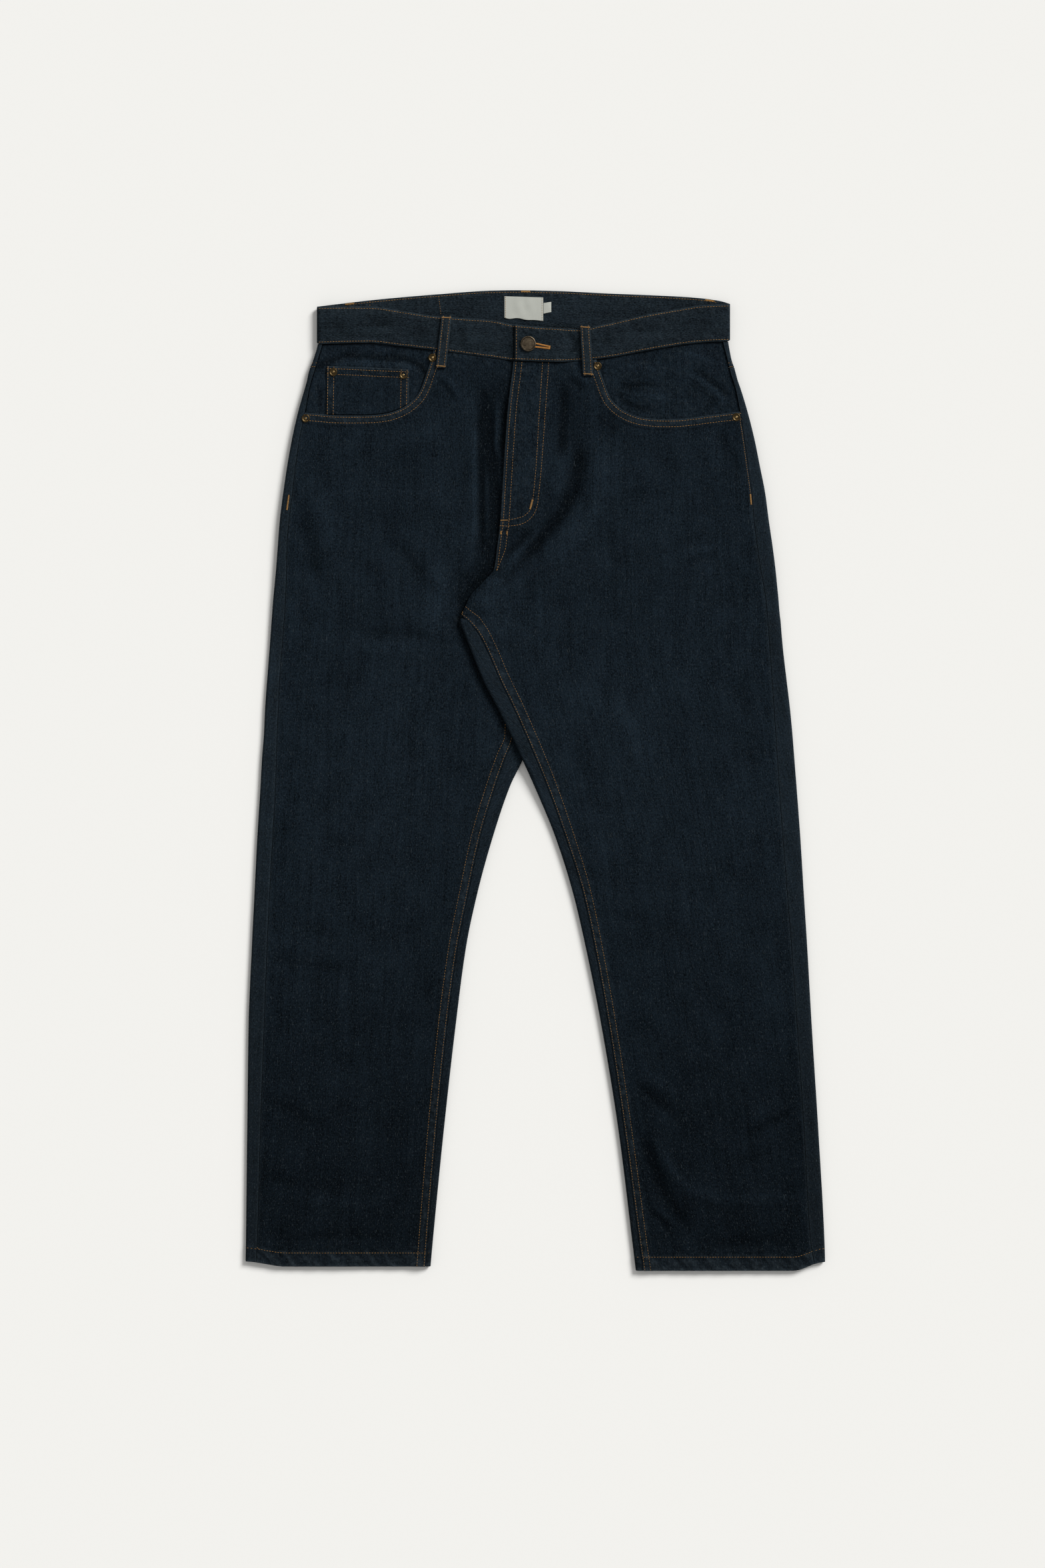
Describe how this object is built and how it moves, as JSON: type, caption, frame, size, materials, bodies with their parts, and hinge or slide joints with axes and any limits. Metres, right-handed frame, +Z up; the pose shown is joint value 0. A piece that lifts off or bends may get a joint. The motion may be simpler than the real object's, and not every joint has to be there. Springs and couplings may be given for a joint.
{
  "type": "jeans laid flat",
  "caption": "Dark blue denim jeans laid flat, front up: relaxed straight legs, buttoned waist, scoop and patch pockets, belt loops and rivets.",
  "frame": {"origin": "middle of the jeans' box, on the surface they lie on", "axes": "+Z up, out of the front of the jeans; +Y towards the waist; +X towards the wearer's left"},
  "size_m": [0.6308, 1.0671, 0.0148],
  "materials": {
    "denim": "dark indigo warp-faced twill, matt, with tan topstitching",
    "rivet_metal": "antique brass, satin, dark in its hollows",
    "button_metal": "antique bronze, satin, plain face",
    "label_cloth": "pale woven tape, bare"
  },
  "bodies": {
    "root": {"front_right": "denim", "front_left": "denim", "back_right": "denim", "back_left": "denim", "yoke_right": "denim", "yoke_left": "denim", "waistband": "denim", "belt_loop_front_right": "denim", "belt_loop_front_left": "denim", "belt_loop_back_right": "denim", "belt_loop_back_centre": "denim", "belt_loop_back_left": "denim", "pocket_facing_right": "denim", "pocket_facing_left": "denim", "coin_pocket": "denim", "back_pocket_right": "denim", "back_pocket_left": "denim", "fly_shield": "denim", "rivet_pocket_right_inner": "rivet_metal", "rivet_pocket_right_outer": "rivet_metal", "rivet_coin_outer": "rivet_metal", "rivet_coin_inner": "rivet_metal", "rivet_pocket_left_inner": "rivet_metal", "rivet_pocket_left_outer": "rivet_metal", "button": "button_metal", "label": "label_cloth", "size_tab": "label_cloth"}
  },
  "joints": []
}
